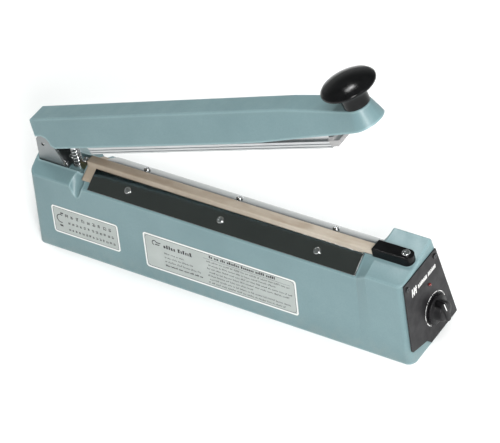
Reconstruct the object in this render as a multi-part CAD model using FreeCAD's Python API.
"""Impulse heat sealer, bench type, 320 mm sealing length.

Frame: +X runs along the body from the hinge to the control panel, -Y is the front with the
labels, +Z is up.  The origin is the middle of the underside.  Millimetres.
The arm is drawn shut and then swung up to the angle where its return spring leaves it.
"""
import FreeCAD, Part
import math
import os

V = FreeCAD.Vector

# --- body casting ---------------------------------------------------------------------------
BODY_LEFT_X = -219.0
FOOT_HALF_WIDTH = 38.9
WALL_TOP_HALF_WIDTH = 26.3
WALL_TOP_Z = 78.8
CREST_HALF_WIDTH = 5.0
CREST_Z = 90.6
SHELL = 3.0
END_FACE_X = 214.6
END_FACE_LEAN = math.radians(1.76)
CORNER_RADIUS = 8.0
REAR_CORNER_RADIUS = 2.5
CREASE_RADIUS = 2.0
FLUTE_X = -160.0

# --- taller block that carries the control panel ----------------------------------------------
BLOCK_RAMP_X = 160.0
BLOCK_X = 172.0
BLOCK_FRONT_HALF_WIDTH = 28.0
BLOCK_FRONT_Z = 86.3
BLOCK_REAR_HALF_WIDTH = 27.0
BLOCK_REAR_Z = 100.0

# --- hinge ------------------------------------------------------------------------------------
PIN_X = -188.0
PIN_Z = 125.0
PIN_RADIUS = 2.5
ARM_OPEN_DEG = 19.3
POCKET_X = (-213.2, -158.0)
POCKET_HALF_WIDTH = 11.9
POCKET_FLOOR_Z = 83.0
BRACKET_INNER = 9.0
BRACKET_OUTER = 11.0

# --- sealing ridge ----------------------------------------------------------------------------
RIDGE_X = (-157.0, 167.4)
RIDGE_HALF_WIDTH = 4.4
RIDGE_Z = (89.6, 96.0)
ELEMENT_THICKNESS = 0.2
ELEMENT_HALF_WIDTH = 1.5
TAPE_THICKNESS = 0.25
STRIP_X = (-146.1, 158.9)
STRIP_WIDTH = 22.4
STRIP_THICKNESS = 1.5
STRIP_MID_Y = 15.2
STRIP_SCREW_X = (-101.4, 6.2, 113.8)
CAP_X = 168.2
CAP_HALF_WIDTH = 6.6
CAP_Z = (91.4, 101.0)
CAP_SCREW_X = 201.0
TERMINAL_X = (-163.0, 173.4)

# --- arm, in its shut position ------------------------------------------------------------------
ARM_LEFT_X = -206.5
ARM_NOSE_X = 226.5
ARM_TOP_Z = 143.3
ARM_FALL_X = 130.0
ARM_NOSE_TOP_Z = 138.0
ARM_TOP_HALF_WIDTH = 11.0
ARM_SIDE_LEAN = 0.3125
ARM_LOWER_Z = 114.5
ARM_SHELL = 2.3
ARM_EDGE_RADIUS = 1.5
BAR_X = (-151.0, 161.0)
BAR_END_X = 167.0
BAR_LIP_X = 173.0
BAR_PEG_Z = 107.0
BAR_Z = 97.9
BAR_HALF_WIDTH = 8.0
BAR_SCREW_X = (-120.0, 10.0, 140.0)
KNOB_X = 207.5

# --- push rod that returns the arm and works the switch -----------------------------------------
ROD_X = -173.0
ROD_RADIUS = 2.5
ROD_TOP_Z = 111.1
ROD_BOTTOM_Z = 73.2
ROD_HEAD_RADIUS = 4.6

# --- control end --------------------------------------------------------------------------------
PLATE_THICKNESS = 1.2
DIAL_Y = 8.7
DIAL_Z = 30.5
LAMP_Y = 7.8
LAMP_Z = 60.8
PLATE_SCREW_Y = 23.5
PLATE_SCREW_Z = 82.0
SHAFT_RADIUS = 3.0

# --- inside -------------------------------------------------------------------------------------
COVER_THICKNESS = 1.5
COVER_SCREW = (195.0, 30.2)
TRANSFORMER_X = 70.0
GROMMET_X = -172.0
GROMMET_Z = 30.0

RUNNING_GAP = 0.07


# --- small helpers ------------------------------------------------------------------------------
def box(x, y, z):
    """Box between two values on each axis."""
    return Part.makeBox(x[1] - x[0], y[1] - y[0], z[1] - z[0], V(x[0], y[0], z[0]))


def both(half):
    """The pair of values on either side of the middle."""
    return (-half, half)


def rod(radius, start, end):
    """Round bar from one point to another."""
    along = V(*end) - V(*start)
    return Part.makeCylinder(radius, along.Length, V(*start), along)


def cone(start_radius, end_radius, start, end):
    """Tapered round bar from one point to another."""
    along = V(*end) - V(*start)
    return Part.makeCone(start_radius, end_radius, along.Length, V(*start), along)


def fuse(*shapes):
    """One clean solid from several that touch."""
    result = shapes[0]
    for shape in shapes[1:]:
        result = result.fuse(shape)
    return result.removeSplitter()


def wire_yz(points, x):
    """Closed outline across the body at one x."""
    corners = [V(x, y, z) for y, z in points]
    return Part.makePolygon(corners + corners[:1])


def prism_yz(points, x):
    """Outline in the Y-Z plane pushed along X."""
    return Part.Face(wire_yz(points, x[0])).extrude(V(x[1] - x[0], 0, 0))


def prism_xz(points, y):
    """Outline in the X-Z plane pushed along Y."""
    corners = [V(x, y[0], z) for x, z in points]
    return Part.Face(Part.makePolygon(corners + corners[:1])).extrude(V(0, y[1] - y[0], 0))


def prism_xy(points, z):
    """Outline in the X-Y plane pushed along Z."""
    corners = [V(x, y, z[0]) for x, y in points]
    return Part.Face(Part.makePolygon(corners + corners[:1])).extrude(V(0, 0, z[1] - z[0]))


def shifted_line(start, end, distance):
    """A line moved sideways to its left."""
    dx, dy = end[0] - start[0], end[1] - start[1]
    length = math.hypot(dx, dy)
    side = (-dy / length * distance, dx / length * distance)
    return (start[0] + side[0], start[1] + side[1]), (dx / length, dy / length)


def crossing(first, second):
    """The point where two lines meet, each a point and a direction."""
    (ax, ay), (ux, uy) = first
    (bx, by), (vx, vy) = second
    along = ((bx - ax) * vy - (by - ay) * vx) / (ux * vy - uy * vx)
    return ax + ux * along, ay + uy * along


def inset(points, distance):
    """A closed outline, drawn clockwise, shrunk by a distance on every side."""
    count = len(points)
    lines = [shifted_line(points[i], points[(i + 1) % count], -distance) for i in range(count)]
    return [crossing(lines[i - 1], lines[i]) for i in range(count)]


def band(path, thickness):
    """Closed outline of a thin sheet bent along an open path, grown to the path's left."""
    lines = [shifted_line(path[i], path[i + 1], thickness) for i in range(len(path) - 1)]
    outer = [lines[0][0]]
    outer += [crossing(lines[i], lines[i + 1]) for i in range(len(lines) - 1)]
    last = shifted_line(path[-1], path[-2], -thickness)[0]
    return path + [last] + outer[::-1]


def round_upright_edges(solid, radius, pick):
    """Round the edges that run mostly up and down and that pick() accepts."""
    edges = []
    for edge in solid.Edges:
        if len(edge.Vertexes) == 2:
            run = edge.Vertexes[1].Point - edge.Vertexes[0].Point
            if abs(run.z) > 0.9 * run.Length and pick(edge.CenterOfMass, run.Length):
                edges.append(edge)
    return solid.makeFillet(radius, edges)


def pan_head(radius, height):
    """Round screw head with a cross recess, standing on the X-Y plane."""
    head = Part.makeCylinder(radius, height)
    head = head.makeFillet(0.45 * height, [e for e in head.Edges if abs(e.CenterOfMass.z - height) < 0.01])
    arm_length = 0.62 * radius
    slot_depth = (0.55 * height, height + 1.0)
    slot_half = 0.13 * radius
    return head.cut(box(both(arm_length), both(slot_half), slot_depth)).cut(
        box(both(slot_half), both(arm_length), slot_depth))


def pan_screw(head_radius, head_height, shank_radius, shank_length):
    """Pan-head screw whose head stands on the X-Y plane and whose shank points down."""
    return fuse(pan_head(head_radius, head_height), rod(shank_radius, (0, 0, -shank_length), (0, 0, 0.2)))


def flat_screw(head_radius, shank_radius, length):
    """Countersunk screw, face down on the X-Y plane, shank up."""
    head_height = head_radius - shank_radius
    return fuse(cone(head_radius, shank_radius, (0, 0, 0), (0, 0, head_height)),
                rod(shank_radius, (0, 0, 0), (0, 0, length)))


def placed(shape, position, turn_axis=V(0, 0, 1), turn_deg=0.0):
    """A copy of a shape turned about the origin and then moved."""
    copy = shape.copy()
    copy.rotate(V(0, 0, 0), turn_axis, turn_deg)
    copy.translate(V(*position))
    return copy


def swung_open(shape):
    """The shut arm's piece, lifted to the rest position."""
    copy = shape.copy()
    copy.rotate(V(PIN_X, 0, PIN_Z), V(0, 1, 0), -ARM_OPEN_DEG)
    return copy


# --- frames on the slanted walls ------------------------------------------------------------------
SHOULDER_SLOPE = math.atan2(CREST_Z - WALL_TOP_Z, WALL_TOP_HALF_WIDTH - CREST_HALF_WIDTH)
WALL_LEAN = math.atan2(FOOT_HALF_WIDTH - WALL_TOP_HALF_WIDTH, WALL_TOP_Z)


def shoulder_z(y):
    """Height of the shoulder's surface at a distance from the middle plane."""
    return CREST_Z - (abs(y) - CREST_HALF_WIDTH) * math.tan(SHOULDER_SLOPE)


def on_front_shoulder(shape):
    """Lay a shape drawn on the X-Y plane onto the front shoulder, its middle on the strip's line."""
    return placed(shape, (0, -STRIP_MID_Y, shoulder_z(STRIP_MID_Y)), V(1, 0, 0), math.degrees(SHOULDER_SLOPE))


def mirrored_to_rear(shape):
    """The same piece on the other side of the middle plane."""
    return shape.mirror(V(0, 0, 0), V(0, 1, 0))


def on_front_wall(shape, x, z):
    """Stand a shape drawn on the X-Y plane against the front wall."""
    y = -(FOOT_HALF_WIDTH - z * math.tan(WALL_LEAN))
    return placed(shape, (x, y, z), V(1, 0, 0), 90.0 - math.degrees(WALL_LEAN))


def end_face_x(z):
    """X of the leaning right-hand end face at a height."""
    return END_FACE_X - z * math.tan(END_FACE_LEAN)


def on_end_face(shape, y, z):
    """Stand a shape drawn on the X-Y plane against the right-hand end face."""
    stood = placed(shape, (0, 0, 0), V(0, 1, 0), 90.0 - math.degrees(END_FACE_LEAN))
    return placed(stood, (end_face_x(z), y, z))


# --- outlines -------------------------------------------------------------------------------------
def main_section():
    """The body's section, clockwise seen from the right-hand end."""
    return [(-FOOT_HALF_WIDTH, 0), (-WALL_TOP_HALF_WIDTH, WALL_TOP_Z), (-CREST_HALF_WIDTH, CREST_Z),
            (CREST_HALF_WIDTH, CREST_Z), (WALL_TOP_HALF_WIDTH, WALL_TOP_Z), (FOOT_HALF_WIDTH, 0)]


def block_top_z(y):
    """Height of the block's top, which falls towards the front."""
    slope = (BLOCK_REAR_Z - BLOCK_FRONT_Z) / (BLOCK_REAR_HALF_WIDTH + BLOCK_FRONT_HALF_WIDTH)
    return BLOCK_FRONT_Z + (y + BLOCK_FRONT_HALF_WIDTH) * slope


def block_section():
    """The taller block's section, with as many corners as the main one."""
    return [(-FOOT_HALF_WIDTH, 0), (-BLOCK_FRONT_HALF_WIDTH, BLOCK_FRONT_Z),
            (-CREST_HALF_WIDTH, block_top_z(-CREST_HALF_WIDTH)),
            (CREST_HALF_WIDTH, block_top_z(CREST_HALF_WIDTH)),
            (BLOCK_REAR_HALF_WIDTH, BLOCK_REAR_Z), (FOOT_HALF_WIDTH, 0)]


def cap_outline(grow):
    """Flat left end and round right end of the end cap, seen from above."""
    half = CAP_HALF_WIDTH + grow
    straight = box((CAP_X - grow, CAP_SCREW_X + 1.0), both(half), CAP_Z)
    return straight.fuse(Part.makeCylinder(half, CAP_Z[1] - CAP_Z[0], V(CAP_SCREW_X + 1.0, 0, CAP_Z[0])))


# --- body casting -----------------------------------------------------------------------------------
def body_outer():
    """The casting's outside before anything is cut from it."""
    main = prism_yz(main_section(), (BODY_LEFT_X, BLOCK_RAMP_X))
    ramp_ends = [wire_yz(main_section(), BLOCK_RAMP_X), wire_yz(block_section(), BLOCK_X)]
    ramp = Part.makeLoft(ramp_ends, True, True)
    block = prism_yz(block_section(), (BLOCK_X, END_FACE_X + 5.0))
    beyond_end = prism_xz([(end_face_x(-10), -10), (240, -10), (240, 120), (end_face_x(120), 120)], both(60))
    beyond_left = prism_xz([(BODY_LEFT_X, 0), (BODY_LEFT_X - 9, 0), (BODY_LEFT_X - 9, 110),
                            (BODY_LEFT_X + 1.8, 110)], both(60))
    outer = main.fuse(ramp).fuse(block).removeSplitter().cut(beyond_end).cut(beyond_left)

    def is_corner(middle, length):
        return abs(middle.x) > 205 and length > 50

    def by_panel_at_rear(middle, length):
        return is_corner(middle, length) and middle.x > 0 and middle.y > 0

    outer = round_upright_edges(outer, CORNER_RADIUS, lambda middle, length: (
        is_corner(middle, length) and not by_panel_at_rear(middle, length)))
    outer = round_upright_edges(outer, REAR_CORNER_RADIUS, by_panel_at_rear)
    return outer.makeFillet(CREASE_RADIUS, [e for e in outer.Edges if e.CenterOfMass.z > 70])


def body_inner():
    """The space inside the casting, open at the bottom."""
    main = inset(main_section(), SHELL)
    block = inset(block_section(), SHELL)
    for outline in (main, block):
        outline[0] = (outline[0][0] - 1.0, -1.0)
        outline[-1] = (outline[-1][0] + 1.0, -1.0)
    left = prism_yz(main, (BODY_LEFT_X + SHELL, BLOCK_X))
    right = prism_yz(block, (BLOCK_X + SHELL, END_FACE_X - 2 * SHELL))
    throat = inset(main_section(), SHELL + 1.0)
    throat[0] = (main[0][0], -1.0)
    throat[-1] = (main[-1][0], -1.0)
    bridge = prism_yz(throat, (BLOCK_X - 1.0, BLOCK_X + SHELL + 1.0))
    return left.fuse(right).fuse(bridge)


def screw_bosses():
    """Four pillars inside the casting that take the bottom cover's screws."""
    x, y = COVER_SCREW
    return [rod(4.6, (sx * x, sy * y, COVER_THICKNESS), (sx * x, sy * y, 22.0))
            for sx in (-1, 1) for sy in (-1, 1)]


def cast_flute(grow):
    """Tapered hollow that runs down the front wall from the left end of the strips."""
    return cone(13.0 + grow, 2.4 + grow, (FLUTE_X, -20.0, 95.0), (FLUTE_X, -32.4, 66.0))


def base_housing():
    """Thin-walled casting with the hinge pocket, the ridge groove and the cap's seat."""
    outer = body_outer()
    hinge_tub = box((POCKET_X[0] - 1, POCKET_X[1] + SHELL), both(POCKET_HALF_WIDTH + SHELL),
                    (POCKET_FLOOR_Z - SHELL, 95)).common(outer)
    cap_pad = box((164, 210), both(10), (84, 102)).common(outer)
    flute_back = cast_flute(2.5).common(outer)
    shell = outer.cut(body_inner()).fuse(hinge_tub).fuse(cap_pad)
    shell = shell.fuse(flute_back).fuse(mirrored_to_rear(flute_back))
    for boss in screw_bosses():
        shell = shell.fuse(boss.common(outer))
    x, y = COVER_SCREW
    cuts = [box(POCKET_X, both(POCKET_HALF_WIDTH), (POCKET_FLOOR_Z, 100)),
            box((RIDGE_X[0] - 1.2, RIDGE_X[1] + 0.1), both(RIDGE_HALF_WIDTH + 0.1), (RIDGE_Z[0], 100)),
            cap_outline(0.15),
            box((168.4, 181.0), both(5.2), (87.5, 100)),
            rod(1.6, (CAP_SCREW_X, 0, 80), (CAP_SCREW_X, 0, 95)),
            rod(4.25, (ROD_X, 0, 70), (ROD_X, 0, 90)),
            on_end_face(rod(4.5, (0, 0, -12), (0, 0, 12)), DIAL_Y, DIAL_Z),
            on_end_face(rod(1.6, (0, 0, -12), (0, 0, 12)), LAMP_Y, LAMP_Z),
            cast_flute(0.0), mirrored_to_rear(cast_flute(0.0)),
            grommet_axis_rod(5.0)]
    cuts += [on_end_face(rod(1.3, (0, 0, -12), (0, 0, 12)), side * PLATE_SCREW_Y, PLATE_SCREW_Z)
             for side in (-1, 1)]
    cuts += [rod(1.6, (sx * x, sy * y, 0), (sx * x, sy * y, 14.0)) for sx in (-1, 1) for sy in (-1, 1)]
    cuts += [rod(1.6, (bx, by, 76), (bx, by, 86)) for bx, by in bracket_screw_places()]
    cuts += [rod(1.3, (ROD_X + dx, 9.0, 79.0), (ROD_X + dx, 9.0, 82.7)) for dx in (-7.0, 7.0)]
    cuts += strip_screw_tools(1.5, -5.0, 4.0)
    for cut in cuts:
        shell = shell.cut(cut)
    return shell.removeSplitter()


def grommet_axis_rod(radius):
    """Round tool through the rear wall where the cord comes in."""
    tool = on_front_wall(rod(radius, (0, 0, -8), (0, 0, 8)), GROMMET_X, GROMMET_Z)
    return mirrored_to_rear(tool)


def cord_grommet():
    """Rubber ring snapped into the rear wall."""
    half_wall = SHELL / 2
    profile = [(3.2, -4.0), (7.2, -4.0), (7.2, -half_wall - 0.1), (4.95, -half_wall - 0.1),
               (4.95, half_wall + 0.1), (7.2, half_wall + 0.1), (6.2, 4.2), (3.2, 4.2)]
    corners = [V(r, 0, z - half_wall) for r, z in profile]
    ring = Part.Face(Part.makePolygon(corners + corners[:1])).revolve(V(0, 0, 0), V(0, 0, 1), 360)
    return mirrored_to_rear(on_front_wall(ring, GROMMET_X, GROMMET_Z))


def bottom_cover():
    """Sheet-steel plate that closes the casting, flush with its rim."""
    x_range = (BODY_LEFT_X + SHELL + 0.5, END_FACE_X - 2 * SHELL - 0.5)
    plate = box(x_range, both(FOOT_HALF_WIDTH - SHELL - 0.6), (0, COVER_THICKNESS))
    plate = round_upright_edges(plate, CORNER_RADIUS, lambda middle, length: True)
    x, y = COVER_SCREW
    places = [(sx * x, sy * y) for sx in (-1, 1) for sy in (-1, 1)] + transformer_screw_places()
    for px, py in places:
        plate = plate.cut(cone(3.2, 1.7, (px, py, 0), (px, py, 1.5)))
    for slot in range(6):
        slot_x = -110.0 + 12.0 * slot
        plate = plate.cut(box((slot_x, slot_x + 3.0), both(14), (-1, 3)))
    return plate


def bottom_cover_screws():
    x, y = COVER_SCREW
    screw = flat_screw(3.0, 1.5, 12.0)
    return [placed(screw, (sx * x, sy * y, 0.1)) for sx in (-1, 1) for sy in (-1, 1)]


# --- hinge ------------------------------------------------------------------------------------------
def bracket_screw_places():
    return [(-205.0, -5.0), (-205.0, 5.0), (-185.0, -5.0), (-185.0, 5.0)]


def hinge_bracket():
    """U-shaped steel bracket that stands in the pocket and holds the pin."""
    lobe = Part.makeCylinder(8.0, 40, V(PIN_X, -20, PIN_Z), V(0, 1, 0))
    cheek_side = prism_xz([(-212.8, POCKET_FLOOR_Z), (-209.4, 113.0), (-205.5, 118.2), (-193.5, 130.6),
                           (-182.0, 119.7), (-189.5, 109.0), (-179.8, 87.0), (-179.8, POCKET_FLOOR_Z)],
                          both(20)).fuse(lobe)
    cheeks = cheek_side.common(box((-220, -170), (BRACKET_INNER, BRACKET_OUTER), (80, 140)))
    cheeks = cheeks.fuse(cheek_side.common(box((-220, -170), (-BRACKET_OUTER, -BRACKET_INNER), (80, 140))))
    floor = box((-212.8, -179.8), both(BRACKET_INNER), (POCKET_FLOOR_Z, POCKET_FLOOR_Z + 1.8))
    bracket = fuse(cheeks, floor)
    bracket = bracket.cut(rod(PIN_RADIUS + 0.03, (PIN_X, -20, PIN_Z), (PIN_X, 20, PIN_Z)))
    bracket = bracket.cut(rod(2.0, (-202.5, -20, 108.0), (-202.5, 20, 108.0)))
    for x, y in bracket_screw_places():
        bracket = bracket.cut(rod(1.6, (x, y, 80), (x, y, 90)))
    return bracket


def bracket_screws():
    screw = pan_screw(3.0, 2.0, 1.5, 7.5)
    return [placed(screw, (x, y, POCKET_FLOOR_Z + 1.8), turn_deg=20.0 * i)
            for i, (x, y) in enumerate(bracket_screw_places())]


def hinge_pin():
    """Pin through the bracket's cheeks, with a head on each end."""
    end = BRACKET_OUTER + 1.3
    pin = rod(PIN_RADIUS, (PIN_X, -end, PIN_Z), (PIN_X, end, PIN_Z))
    heads = [rod(3.9, (PIN_X, side * (BRACKET_OUTER + 0.05), PIN_Z), (PIN_X, side * end, PIN_Z))
             for side in (-1, 1)]
    return fuse(pin, *heads)


# --- push rod, return spring and switch ----------------------------------------------------------------
def rod_guide():
    """Flanged bush pressed through the pocket's floor."""
    bush = fuse(rod(4.25, (ROD_X, 0, POCKET_FLOOR_Z - SHELL), (ROD_X, 0, 84.0)),
                rod(5.6, (ROD_X, 0, POCKET_FLOOR_Z), (ROD_X, 0, POCKET_FLOOR_Z + 2.0)))
    return bush.cut(rod(ROD_RADIUS + RUNNING_GAP, (ROD_X, 0, 70), (ROD_X, 0, 90)))


def push_rod():
    """Rod with a domed head that the arm bears on."""
    dome_radius = 12.0
    head_low = ROD_TOP_Z - 4.6
    dome = Part.makeSphere(dome_radius, V(ROD_X, 0, ROD_TOP_Z - dome_radius))
    head = rod(ROD_HEAD_RADIUS, (ROD_X, 0, head_low), (ROD_X, 0, ROD_TOP_Z)).common(dome)
    return fuse(head, rod(ROD_RADIUS, (ROD_X, 0, ROD_BOTTOM_Z), (ROD_X, 0, head_low + 1.0)))


def return_spring():
    """Compression coil between the bush and the rod's head."""
    wire_radius = 0.8
    low = POCKET_FLOOR_Z + 2.0 + wire_radius
    high = ROD_TOP_Z - 4.6 - wire_radius
    coil_radius = 3.72
    helix = Part.makeHelix((high - low) / 5.5, high - low, coil_radius)
    start = Part.Wire(Part.makeCircle(wire_radius, V(coil_radius, 0, 0), V(0, 1, 0.14)))
    coil = Part.Wire(helix).makePipeShell([start], True, True)
    return placed(coil, (ROD_X, 0, low))


def microswitch():
    """Snap switch under the pocket, its button in line with the rod."""
    case = box((ROD_X - 10.0, ROD_X + 10.0), both(3.2), (58.5, 68.8))
    case = case.cut(rod(1.3 + RUNNING_GAP, (ROD_X, 0, 65.0), (ROD_X, 0, 70.0)))
    lugs = [box((ROD_X + x - 0.4, ROD_X + x + 0.4), both(1.6), (54.5, 58.5)) for x in (-7.5, 0.0, 7.5)]
    case = fuse(case, *lugs)
    for x in (-7.0, 7.0):
        case = case.cut(rod(1.1, (ROD_X + x, -5, 62.0), (ROD_X + x, 5, 62.0)))
    return case


def switch_button():
    button = rod(1.3, (ROD_X, 0, 66.2), (ROD_X, 0, 70.2))
    return button.makeFillet(0.5, [e for e in button.Edges if abs(e.CenterOfMass.z - 70.2) < 0.01])


def switch_bracket():
    """Angle that hangs the switch from the pocket's floor."""
    floor_under = POCKET_FLOOR_Z - SHELL
    upright = box((ROD_X - 10.5, ROD_X + 10.5), (3.2, 4.4), (57.5, floor_under))
    flange = box((ROD_X - 10.5, ROD_X + 10.5), (4.4, 13.5), (floor_under - 1.2, floor_under))
    angle = fuse(upright, flange)
    for x in (-7.0, 7.0):
        angle = angle.cut(rod(1.1, (ROD_X + x, 0, 62.0), (ROD_X + x, 6, 62.0)))
        angle = angle.cut(rod(1.3, (ROD_X + x, 9.0, 70), (ROD_X + x, 9.0, 82)))
    return angle


def switch_screws():
    """Two screws through the switch and two that hold its bracket to the floor."""
    through = pan_screw(1.9, 1.3, 1.05, 8.5)
    hold = pan_screw(2.4, 1.6, 1.25, 3.8)
    screws = []
    for x in (-7.0, 7.0):
        screws.append(placed(through, (ROD_X + x, -3.2, 62.0), V(1, 0, 0), 90.0))
        screws.append(placed(hold, (ROD_X + x, 9.0, POCKET_FLOOR_Z - SHELL - 1.2), V(1, 0, 0), 180.0))
    return screws


# --- sealing ridge --------------------------------------------------------------------------------------
def ridge_bar():
    """Heat-proof insulating bar that the heating ribbon lies on."""
    bar = box(RIDGE_X, both(RIDGE_HALF_WIDTH), RIDGE_Z)
    top = [e for e in bar.Edges if abs(e.CenterOfMass.z - RIDGE_Z[1]) < 0.01 and abs(e.CenterOfMass.y) > 1]
    return bar.makeChamfer(0.4, top)


def heating_element():
    """Flat resistance ribbon over the ridge, bent down to a terminal at each end."""
    top = RIDGE_Z[1] + 0.02
    left, right = RIDGE_X[0] - 0.15, RIDGE_X[1] + 0.15
    path = [(left - 8.0, 91.62), (left - 0.2, 91.62), (left - 0.2, top), (right + 0.2, top),
            (right + 0.2, 92.52), (right + 8.0, 92.52)]
    ribbon = prism_xz(band(path, ELEMENT_THICKNESS), both(ELEMENT_HALF_WIDTH))
    for x, z in ((TERMINAL_X[0], 91.62), (TERMINAL_X[1], 92.52)):
        tab = box((x - 3.2, x + 3.2), both(3.2), (z, z + ELEMENT_THICKNESS))
        ribbon = fuse(ribbon, tab).cut(rod(1.55, (x, 0, z - 1), (x, 0, z + 1)))
    return ribbon


def ptfe_cover():
    """Non-stick cloth folded over the ridge and tucked under both strips."""
    foot_y = 19.0
    side_y = RIDGE_HALF_WIDTH + 0.06
    lift = 0.03
    top = RIDGE_Z[1] + ELEMENT_THICKNESS + 0.06
    ridge_end = RIDGE_X[1] - 0.2
    rear_half = [(side_y, top), (side_y, CREST_Z + lift), (CREST_HALF_WIDTH, CREST_Z + lift),
                 (foot_y, shoulder_z(foot_y) + lift)]
    path = [(-y, z) for y, z in reversed(rear_half)] + rear_half
    tucked = prism_yz(band(path, TAPE_THICKNESS), (RIDGE_X[0] + 0.2, BLOCK_RAMP_X - 0.2))
    for tool in strip_screw_tools(1.6, -2.0, 3.0):
        tucked = tucked.cut(tool)
    over_ramp = [(-side_y, 93.8), (-side_y, top), (side_y, top), (side_y, 93.8)]
    return fuse(tucked, prism_yz(band(over_ramp, TAPE_THICKNESS), (BLOCK_RAMP_X - 0.2, ridge_end)))


def strip_screw_tools(radius, low, high):
    """Round tools square to both shoulders at every strip screw."""
    tools = [on_front_shoulder(rod(radius, (x, 0, low), (x, 0, high))) for x in STRIP_SCREW_X]
    return tools + [mirrored_to_rear(tool) for tool in tools]


def front_strip():
    """Polished strip that clamps the cloth to the front shoulder."""
    low = TAPE_THICKNESS + 0.05
    strip = box(STRIP_X, both(STRIP_WIDTH / 2), (low, low + STRIP_THICKNESS))
    edges = [e for e in strip.Edges if abs(e.CenterOfMass.z - low - STRIP_THICKNESS) < 0.01]
    strip = on_front_shoulder(strip.makeFillet(0.6, edges))
    for tool in strip_screw_tools(1.8, -5.0, 5.0)[:3]:
        strip = strip.cut(tool)
    return strip


def rear_strip():
    return mirrored_to_rear(front_strip())


def strip_screws():
    """Three pan-head screws through each strip."""
    low = TAPE_THICKNESS + 0.05 + STRIP_THICKNESS
    front = [on_front_shoulder(placed(pan_screw(3.4, 1.9, 1.45, 6.0), (x, 0, low), turn_deg=25.0 * i))
             for i, x in enumerate(STRIP_SCREW_X)]
    return front + [mirrored_to_rear(screw) for screw in front]


def terminal_left():
    """Brass block that clamps the ribbon at the hinge end."""
    block = box((-167.0, -158.4), both(4.0), (POCKET_FLOOR_Z, 91.6))
    return block.cut(rod(1.5, (TERMINAL_X[0], 0, 85.0), (TERMINAL_X[0], 0, 92.0)))


def terminal_right():
    """Brass block that clamps the ribbon under the end cap."""
    block = box((168.6, 177.4), both(4.0), (87.5, 92.5))
    return block.cut(rod(1.5, (TERMINAL_X[1], 0, 88.5), (TERMINAL_X[1], 0, 93.0)))


def terminal_screws():
    screw = pan_screw(3.0, 1.6, 1.45, 3.2)
    clamp = ELEMENT_THICKNESS + 0.04
    return [placed(screw, (TERMINAL_X[0], 0, 91.6 + clamp)),
            placed(screw, (TERMINAL_X[1], 0, 92.5 + clamp), turn_deg=35.0)]


def end_cap():
    """Black moulding over the ribbon's right-hand terminal."""
    cap = cap_outline(0.0).removeSplitter()
    top = [e for e in cap.Edges if abs(e.CenterOfMass.z - CAP_Z[1]) < 0.01]
    cap = cap.makeFillet(0.8, top)
    cap = cap.cut(box((CAP_X - 1.0, 181.0), both(5.2), (CAP_Z[0] - 1, 96.6)))
    return cap.cut(rod(1.7, (CAP_SCREW_X, 0, 90), (CAP_SCREW_X, 0, 102)))


def end_cap_screw():
    return [placed(pan_screw(3.9, 2.0, 1.5, 14.0), (CAP_SCREW_X, 0, CAP_Z[1]), turn_deg=30.0)]


# --- labels ---------------------------------------------------------------------------------------------
def wall_label(x, z, height):
    """Thin plate with round corners stuck on the front wall."""
    plate = box(x, (0, height), (0, 0.25))
    plate = round_upright_edges(plate, 3.0, lambda middle, length: True)
    return on_front_wall(plate, 0.0, z)


def instruction_label():
    return wall_label((-83.0, 92.4), 14.2, 39.8)


def rating_label():
    return wall_label((-194.4, -113.4), 19.4, 31.4)


# --- control end ----------------------------------------------------------------------------------------
def control_plate():
    """Dark panel on the end face, with a deeper lower edge towards the rear."""
    lean = (FOOT_HALF_WIDTH - BLOCK_FRONT_HALF_WIDTH) / BLOCK_FRONT_Z
    top, front_low, tab_low = 88.0, 15.3, 1.8

    def half_width(z):
        return FOOT_HALF_WIDTH - lean * z - 0.5

    outline = [(-half_width(top), top), (half_width(top), top), (half_width(tab_low), tab_low),
               (-7.0, tab_low), (-13.0, 9.0), (-21.0, 11.0),
               (-half_width(front_low) + 1.5, front_low - 0.6), (-half_width(front_low), front_low + 1.5)]
    flat = prism_yz(outline, (0.0, PLATE_THICKNESS))
    plate = placed(flat, (0, 0, 0), V(0, 1, 0), -math.degrees(END_FACE_LEAN))
    plate.translate(V(END_FACE_X, 0, 0))
    for y, z, radius in plate_holes():
        plate = plate.cut(on_end_face(rod(radius, (0, 0, -5), (0, 0, 5)), y, z))
    return plate


def plate_holes():
    """Place and radius of every hole in the panel."""
    return [(DIAL_Y, DIAL_Z, 4.5), (LAMP_Y, LAMP_Z, 1.6),
            (-PLATE_SCREW_Y, PLATE_SCREW_Z, 1.4), (PLATE_SCREW_Y, PLATE_SCREW_Z, 1.4)]


def plate_screws():
    screw = placed(pan_screw(2.4, 1.3, 1.25, 5.0), (0, 0, PLATE_THICKNESS))
    return [on_end_face(screw, side * PLATE_SCREW_Y, PLATE_SCREW_Z) for side in (-1, 1)]


def indicator_lamp():
    """Red lamp that pokes through the panel."""
    lens = fuse(rod(1.5, (0, 0, -6.0), (0, 0, PLATE_THICKNESS + 0.6)),
                Part.makeSphere(1.5, V(0, 0, PLATE_THICKNESS + 0.6)),
                rod(2.1, (0, 0, -6.0), (0, 0, -4.6)))
    return on_end_face(lens, LAMP_Y, LAMP_Z)


def timer_control():
    """Potentiometer behind the end wall, its threaded bush through the panel."""
    can = rod(9.5, (197.4, DIAL_Y, DIAL_Z), (208.5, DIAL_Y, DIAL_Z))
    bush = rod(4.2, (208.0, DIAL_Y, DIAL_Z), (217.3, DIAL_Y, DIAL_Z))
    pins = [box((200.5, 201.2), (DIAL_Y + y - 0.6, DIAL_Y + y + 0.6), (DIAL_Z - 15.0, DIAL_Z - 8.0))
            for y in (-4.0, 0.0, 4.0)]
    body = fuse(can, bush, *pins)
    return body.cut(rod(SHAFT_RADIUS + RUNNING_GAP, (200.5, DIAL_Y, DIAL_Z), (230.0, DIAL_Y, DIAL_Z)))


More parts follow.
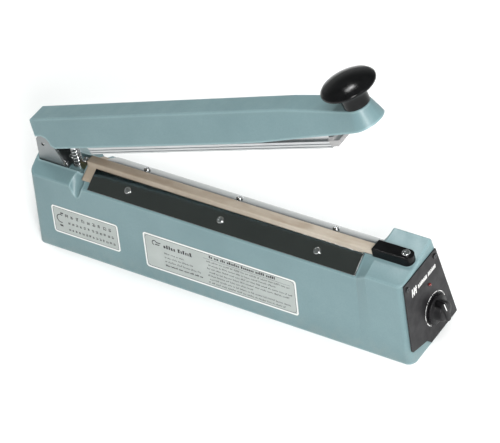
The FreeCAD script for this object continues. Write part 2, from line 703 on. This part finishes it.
def timer_nut():
    """Hexagon nut on the bush, hidden under the knob."""
    across = 11.0
    corner = across / math.cos(math.radians(30)) / 2
    turns = [math.radians(60 * i) for i in range(6)]
    outline = [(DIAL_Y + corner * math.cos(turn), DIAL_Z + corner * math.sin(turn)) for turn in turns]
    nut = prism_yz(outline, (215.12, 216.9))
    return nut.cut(rod(4.2, (210, DIAL_Y, DIAL_Z), (220, DIAL_Y, DIAL_Z)))


def timer_shaft():
    return rod(SHAFT_RADIUS, (201.0, DIAL_Y, DIAL_Z), (224.5, DIAL_Y, DIAL_Z))


def timer_knob():
    """Skirted knob with a raised grip bar; the pointer leans a little to the front."""
    skirt = cone(14.6, 13.6, (216.0, DIAL_Y, DIAL_Z), (218.6, DIAL_Y, DIAL_Z))
    hub = cone(9.2, 8.4, (218.0, DIAL_Y, DIAL_Z), (226.5, DIAL_Y, DIAL_Z))
    grip = box((218.0, 227.5), both(3.6), (-13.0, 13.6))
    grip = placed(grip, (0, 0, 0), V(1, 0, 0), 12.6)
    grip.translate(V(0, DIAL_Y, DIAL_Z))
    round_limit = rod(13.6, (210, DIAL_Y, DIAL_Z), (230, DIAL_Y, DIAL_Z))
    knob = fuse(skirt, hub, grip.common(round_limit))
    knob = knob.cut(rod(7.4, (215.0, DIAL_Y, DIAL_Z), (217.8, DIAL_Y, DIAL_Z)))
    return knob.cut(rod(SHAFT_RADIUS, (210, DIAL_Y, DIAL_Z), (224.5, DIAL_Y, DIAL_Z)))


def timer_board():
    """Circuit board that stands across the body behind the timer."""
    board = box((187.0, 188.6), (-25.0, 25.0), (11.0, 56.0))
    for y, z in board_spacer_places():
        board = board.cut(rod(1.5, (180, y, z), (195, y, z)))
    return board


def board_spacer_places():
    return [(-20.0, 48.0), (20.0, 48.0), (-21.0, 16.0)]


def board_spacers():
    """Pillars between the board and the end wall."""
    inner_x = END_FACE_X - 2 * SHELL
    return [rod(2.6, (188.6, y, z), (inner_x, y, z)) for y, z in board_spacer_places()]


def board_relay():
    return box((171.0, 187.0), (-20.0, -4.0), (22.0, 42.0))


def board_capacitor():
    """Round timing capacitor lying across the board."""
    can = rod(6.0, (170.0, 12.0, 36.0), (187.0, 12.0, 36.0))
    return can.makeFillet(0.8, [e for e in can.Edges if abs(e.CenterOfMass.x - 170.0) < 0.01])


# --- transformer ------------------------------------------------------------------------------------------
def transformer_screw_places():
    return [(TRANSFORMER_X - 41.0, 0.0), (TRANSFORMER_X + 41.0, 0.0)]


def transformer_core():
    """Stack of plates with two windows for the winding."""
    core = box((TRANSFORMER_X - 33, TRANSFORMER_X + 33), both(16), (COVER_THICKNESS, 56.5))
    for side in (-1, 1):
        window = box((11.0, 22.0), both(20), (12.5, 45.5))
        if side < 0:
            window = window.mirror(V(0, 0, 0), V(1, 0, 0))
        core = core.cut(placed(window, (TRANSFORMER_X, 0, 0)))
    return core


def transformer_coil():
    """Taped winding round the middle leg."""
    coil = box(both(21.7), both(25.0), (12.8, 45.2))
    coil = round_upright_edges(coil, 4.0, lambda middle, length: True)
    coil = coil.cut(box(both(11.15), both(16.15), (0, 60)))
    coil = coil.cut(box((11.15, 30), (16.3, 30), (0, 60)).cut(box((11.15, 21.7), (16.3, 25), (0, 60))))
    return placed(coil, (TRANSFORMER_X, 0, 0))


def transformer_strap():
    """Sheet-metal strap over the core, with a foot on each side."""
    path = [(-47.0, COVER_THICKNESS), (-33.05, COVER_THICKNESS), (-33.05, 56.55), (33.05, 56.55),
            (33.05, COVER_THICKNESS), (47.0, COVER_THICKNESS)]
    strap = placed(prism_xz(band(path, 1.2), both(9.0)), (TRANSFORMER_X, 0, 0))
    for x, y in transformer_screw_places():
        strap = strap.cut(rod(1.7, (x, y, 0), (x, y, 4)))
    return strap


def transformer_screws():
    """Countersunk screws up through the cover, each with a nut on the strap's foot."""
    screws = []
    for x, y in transformer_screw_places():
        shank = placed(flat_screw(3.0, 1.5, 7.0), (x, y, 0.1))
        nut = rod(3.2, (x, y, 2.75), (x, y, 5.2))
        screws.append(fuse(shank, nut))
    return screws


# --- arm (drawn shut) ---------------------------------------------------------------------------------------
def arm_half_width(z):
    return ARM_TOP_HALF_WIDTH + ARM_SIDE_LEAN * (ARM_TOP_Z - z)


def arm_section(low_z, shrink):
    """Section of the arm's cover, open or solid below, drawn clockwise."""
    outline = [(-arm_half_width(low_z), low_z), (-ARM_TOP_HALF_WIDTH, ARM_TOP_Z),
               (ARM_TOP_HALF_WIDTH, ARM_TOP_Z), (arm_half_width(low_z), low_z)]
    if shrink == 0:
        return outline
    return inset(outline, shrink)


def arm_side_outline():
    """Side view of the cover: cut away round the hinge, rising underneath towards the nose."""
    top = [(ARM_LEFT_X, ARM_TOP_Z), (ARM_FALL_X, ARM_TOP_Z), (ARM_NOSE_X, ARM_NOSE_TOP_Z)]
    underside = [(ARM_NOSE_X, 122.0), (206.0, 120.6), (146.0, 117.9), (95.0, ARM_LOWER_Z + 0.5),
                 (60.0, ARM_LOWER_Z), (-181.0, ARM_LOWER_Z)]
    hinge_notch = [(-186.0, 117.5), (-187.6, 121.5), (-190.5, 124.8), (-196.0, 127.0),
                   (ARM_LEFT_X + 1.0, 127.0)]
    return top + underside + hinge_notch


def arm_wedge(low_z, shrink):
    """Tapered cover with a nose rounded about the knob, before the underside is trimmed."""
    straight = prism_yz(arm_section(low_z, shrink), (ARM_LEFT_X + shrink, KNOB_X))
    side_shrink = shrink / math.cos(math.atan(ARM_SIDE_LEAN))
    top_z = ARM_TOP_Z - shrink
    nose = cone(arm_half_width(low_z) - side_shrink, arm_half_width(top_z) - side_shrink,
                (KNOB_X, 0, low_z), (KNOB_X, 0, top_z))
    return straight.fuse(nose)


def arm_cover():
    """Cast cover of the arm, open underneath."""
    outer = arm_wedge(100.0, 0).common(prism_xz(arm_side_outline(), both(40))).removeSplitter()
    outer = outer.makeFillet(ARM_EDGE_RADIUS, [e for e in outer.Edges if e.CenterOfMass.z > 135])
    roof_low = [(-230, 90), (-230, ARM_TOP_Z - ARM_SHELL), (ARM_FALL_X, ARM_TOP_Z - ARM_SHELL),
                (240, ARM_NOSE_TOP_Z - ARM_SHELL - 0.8), (240, 90)]
    inner = arm_wedge(96.0, ARM_SHELL).common(prism_xz(roof_low, both(40)))
    cover = outer.cut(inner)
    for x in BAR_SCREW_X:
        cover = cover.fuse(rod(5.0, (x, 0, 118.1), (x, 0, ARM_TOP_Z - 1.0)))
        cover = cover.cut(rod(1.8, (x, 0, 110), (x, 0, 134.0)))
    for x in arm_bracket_screw_places():
        cover = cover.fuse(rod(3.2, (x, 0, 110.1), (x, 0, ARM_TOP_Z - 1.0)))
        cover = cover.cut(rod(1.3, (x, 0, 105), (x, 0, 126.0)))
    cover = cover.cut(on_arm_nose(rod(2.2, (0, 0, -12), (0, 0, 12))))
    return swung_open(cover.removeSplitter())


def arm_bracket_screw_places():
    return [-164.6, -157.2]


def arm_bracket():
    """Steel channel inside the cover that turns on the pin."""
    low, web = 108.0, 2.0
    outer, inner = 8.6, 6.6
    web_x = (-184.0, -153.2)
    side = prism_xz([(web_x[0], low), (web_x[1], low), (web_x[1], 131.0), (PIN_X, 132.9), (-196.0, PIN_Z),
                     (PIN_X - 1.0, 117.1)][::-1], both(outer))
    lobe = Part.makeCylinder(8.0, 2 * outer, V(PIN_X, -outer, PIN_Z), V(0, 1, 0))
    channel = side.fuse(lobe).removeSplitter().cut(box((-200, -150), both(inner), (low + web, 140)))
    channel = channel.cut(rod(PIN_RADIUS + RUNNING_GAP, (PIN_X, -20, PIN_Z), (PIN_X, 20, PIN_Z)))
    for x in arm_bracket_screw_places():
        channel = channel.cut(rod(1.5, (x, 0, 100), (x, 0, 112)))
    return swung_open(channel)


def arm_bracket_screws():
    screw = pan_screw(2.8, 1.8, 1.25, 12.0)
    return [swung_open(placed(screw, (x, 0, 108.0), V(1, 0, 0), 180.0)) for x in arm_bracket_screw_places()]


def press_bar():
    """Aluminium bar that backs the rubber, with grooves along its sides."""
    foot_top, neck, top = 105.4, 5.5, 118.0
    groove_half, groove_top = 4.1, 99.9
    rear_half = [(neck, top), (neck, foot_top), (BAR_HALF_WIDTH, foot_top), (BAR_HALF_WIDTH, BAR_Z),
                 (groove_half, BAR_Z), (groove_half, groove_top)]
    section = rear_half + [(-y, z) for y, z in reversed(rear_half)]
    bar = prism_yz(section, BAR_X)
    for z in (99.8, 102.6):
        for side in (-1, 1):
            line = [(side * (BAR_HALF_WIDTH + 0.2), z - 0.7), (side * (BAR_HALF_WIDTH - 0.5), z),
                    (side * (BAR_HALF_WIDTH + 0.2), z + 0.7)]
            bar = bar.cut(prism_yz(line, BAR_X))
    bar = bar.cut(rod(2.05, (BAR_X[1] - 9.0, 0, BAR_PEG_Z), (BAR_X[1] + 1.0, 0, BAR_PEG_Z)))
    for x in BAR_SCREW_X:
        bar = bar.cut(rod(3.4, (x, 0, 99.0), (x, 0, 103.0))).cut(rod(2.1, (x, 0, 99.0), (x, 0, 120.0)))
    return swung_open(bar)


def press_bar_end():
    """Moulded plug on the bar's free end; its lip passes over the end cap when the arm is shut."""
    low, high, shoulder = BAR_Z, 108.8, 105.6
    section = [(-BAR_HALF_WIDTH + 2.4, low), (-BAR_HALF_WIDTH, low + 2.6), (-BAR_HALF_WIDTH, shoulder),
               (-BAR_HALF_WIDTH + 1.8, high), (BAR_HALF_WIDTH - 1.8, high), (BAR_HALF_WIDTH, shoulder),
               (BAR_HALF_WIDTH, low + 2.6), (BAR_HALF_WIDTH - 2.4, low)]
    plug = prism_yz(section, (BAR_X[1], BAR_END_X))
    plug = plug.makeFillet(0.8, [e for e in plug.Edges if abs(e.CenterOfMass.x - BAR_END_X) < 0.01])
    peg = rod(2.0, (BAR_X[1] - 8.0, 0, BAR_PEG_Z), (BAR_X[1] + 1.0, 0, BAR_PEG_Z))
    lip = box((BAR_END_X - 1.0, BAR_LIP_X), both(BAR_HALF_WIDTH), (CAP_Z[1] + 1.0, shoulder + 0.6))
    lip = lip.makeFillet(0.8, [e for e in lip.Edges if abs(e.CenterOfMass.x - BAR_LIP_X) < 0.01])
    return swung_open(fuse(plug, peg, lip))


def press_bar_screws():
    screw = pan_screw(3.2, 2.4, 1.75, 29.0)
    return [swung_open(placed(screw, (x, 0, 103.0), V(1, 0, 0), 180.0)) for x in BAR_SCREW_X]


def silicone_strip():
    """Heat-proof rubber that presses the film on the cloth."""
    strip = box((BAR_X[0] + 3.0, BAR_X[1] - 0.6), both(4.0), (96.85, 99.88))
    low = [e for e in strip.Edges if abs(e.CenterOfMass.z - 96.85) < 0.01 and abs(e.CenterOfMass.y) > 1]
    return swung_open(strip.makeFillet(0.6, low))


def arm_top_z(x):
    """Height of the cover's top along the shut arm."""
    fall = (ARM_TOP_Z - ARM_NOSE_TOP_Z) / (ARM_NOSE_X - ARM_FALL_X)
    return ARM_TOP_Z - max(0.0, x - ARM_FALL_X) * fall


def on_arm_nose(shape):
    """Stand a shape drawn on the X-Y plane on the cover's sloping top, where the knob is."""
    slope = math.atan2(ARM_TOP_Z - ARM_NOSE_TOP_Z, ARM_NOSE_X - ARM_FALL_X)
    return placed(placed(shape, (0, 0, 0), V(0, 1, 0), math.degrees(slope)), (KNOB_X, 0, arm_top_z(KNOB_X)))


def handle_knob():
    """Mushroom knob turned in one piece with its stem."""
    outline = [V(0, 0, 0), V(12.2, 0, 0), V(12.6, 0, 10.0), V(15.5, 0, 14.6)]
    stem = Part.makePolygon(outline)
    under = Part.makeLine(V(15.5, 0, 14.6), V(23.6, 0, 17.2))
    rim = Part.Arc(V(23.6, 0, 17.2), V(25.4, 0, 20.3), V(23.2, 0, 23.3)).toShape()
    rise, half_span = 5.5, 23.2
    dome_radius = (half_span ** 2 + rise ** 2) / (2 * rise)
    half_turn = math.asin(half_span / dome_radius) / 2
    dome_middle = V(dome_radius * math.sin(half_turn), 0, 28.8 - dome_radius * (1 - math.cos(half_turn)))
    dome = Part.Arc(V(half_span, 0, 23.3), dome_middle, V(0, 0, 28.8)).toShape()
    axis = Part.makeLine(V(0, 0, 28.8), V(0, 0, 0))
    face = Part.Face(Part.Wire(stem.Edges + [under, rim, dome, axis]))
    knob = face.revolve(V(0, 0, 0), V(0, 0, 1), 360)
    knob = knob.cut(rod(2.2, (0, 0, -1), (0, 0, 16.0)))
    return swung_open(on_arm_nose(knob))


def knob_screw():
    """Screw from inside the cover up into the knob."""
    screw = placed(pan_screw(4.4, 2.6, 2.15, 15.0), (0, 0, -3.3), V(1, 0, 0), 180.0)
    return [swung_open(on_arm_nose(screw))]


NODES = {
    "base_housing": base_housing,
    "bottom_cover": bottom_cover,
    "bottom_cover_screws": bottom_cover_screws,
    "cord_grommet": cord_grommet,
    "hinge_bracket": hinge_bracket,
    "bracket_screws": bracket_screws,
    "hinge_pin": hinge_pin,
    "rod_guide": rod_guide,
    "push_rod": push_rod,
    "return_spring": return_spring,
    "microswitch": microswitch,
    "switch_button": switch_button,
    "switch_bracket": switch_bracket,
    "switch_screws": switch_screws,
    "ridge_bar": ridge_bar,
    "heating_element": heating_element,
    "ptfe_cover": ptfe_cover,
    "front_strip": front_strip,
    "rear_strip": rear_strip,
    "strip_screws": strip_screws,
    "terminal_left": terminal_left,
    "terminal_right": terminal_right,
    "terminal_screws": terminal_screws,
    "end_cap": end_cap,
    "end_cap_screw": end_cap_screw,
    "instruction_label": instruction_label,
    "rating_label": rating_label,
    "control_plate": control_plate,
    "plate_screws": plate_screws,
    "indicator_lamp": indicator_lamp,
    "timer_control": timer_control,
    "timer_nut": timer_nut,
    "timer_shaft": timer_shaft,
    "timer_knob": timer_knob,
    "timer_board": timer_board,
    "board_spacers": board_spacers,
    "board_relay": board_relay,
    "board_capacitor": board_capacitor,
    "transformer_core": transformer_core,
    "transformer_coil": transformer_coil,
    "transformer_strap": transformer_strap,
    "transformer_screws": transformer_screws,
    "arm_cover": arm_cover,
    "arm_bracket": arm_bracket,
    "arm_bracket_screws": arm_bracket_screws,
    "press_bar": press_bar,
    "press_bar_end": press_bar_end,
    "press_bar_screws": press_bar_screws,
    "silicone_strip": silicone_strip,
    "handle_knob": handle_knob,
    "knob_screw": knob_screw,
}


def write_parts():
    os.makedirs("parts", exist_ok=True)
    for name, make in NODES.items():
        made = make()
        shape = Part.makeCompound(made) if isinstance(made, list) else made
        solids = shape.Solids
        state = "" if shape.isValid() else "  NOT VALID"
        print(f"{name}: {len(solids)} solid(s), {shape.Volume / 1000:.2f} cm3{state}")
        shape.exportStep(f"parts/{name}.step")


write_parts()
